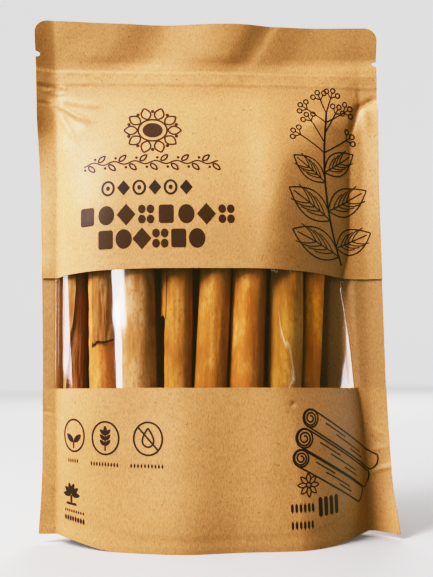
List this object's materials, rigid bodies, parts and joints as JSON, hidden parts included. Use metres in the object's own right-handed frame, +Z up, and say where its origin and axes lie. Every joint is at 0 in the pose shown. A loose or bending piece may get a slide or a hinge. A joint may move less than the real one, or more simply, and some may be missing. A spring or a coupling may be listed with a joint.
{
  "type": "stand-up pouch of cinnamon sticks",
  "caption": "Shut kraft paper stand-up pouch with a full-width clear window band, zip ridges, tear notches and an open bottom gusset, filled with upright rolled cinnamon sticks.",
  "frame": {"origin": "on the surface that the pouch stands on, under the middle of its box", "axes": "+Z up along the pouch, -Y out of its printed front, +X to the right as seen from the front"},
  "size_m": [0.1606, 0.057, 0.2385],
  "materials": {
    "kraft_paper": "natural brown kraft with fine fibres and specks, a slight laminate sheen, soft creases",
    "clear_film": "clear glossy film with fine upright wrinkles",
    "cinnamon_bark": "dry rolled bark, matt, with fine lengthwise streaks and paler and darker patches",
    "dark_ink": "flat near-black brown ink on paper",
    "brown_ink": "flat warm brown ink on paper"
  },
  "bodies": {
    "root": {"kraft_pouch": "kraft_paper", "window_film": "clear_film", "quill_front_1": "cinnamon_bark", "quill_front_2": "cinnamon_bark", "quill_front_3": "cinnamon_bark", "quill_front_4": "cinnamon_bark", "quill_front_5": "cinnamon_bark", "quill_front_6": "cinnamon_bark", "quill_front_7": "cinnamon_bark", "quill_front_8": "cinnamon_bark", "quill_back_1": "cinnamon_bark", "quill_back_2": "cinnamon_bark", "quill_back_3": "cinnamon_bark", "quill_back_4": "cinnamon_bark", "quill_back_5": "cinnamon_bark", "quill_back_6": "cinnamon_bark", "quill_back_7": "cinnamon_bark"}
  },
  "joints": []
}
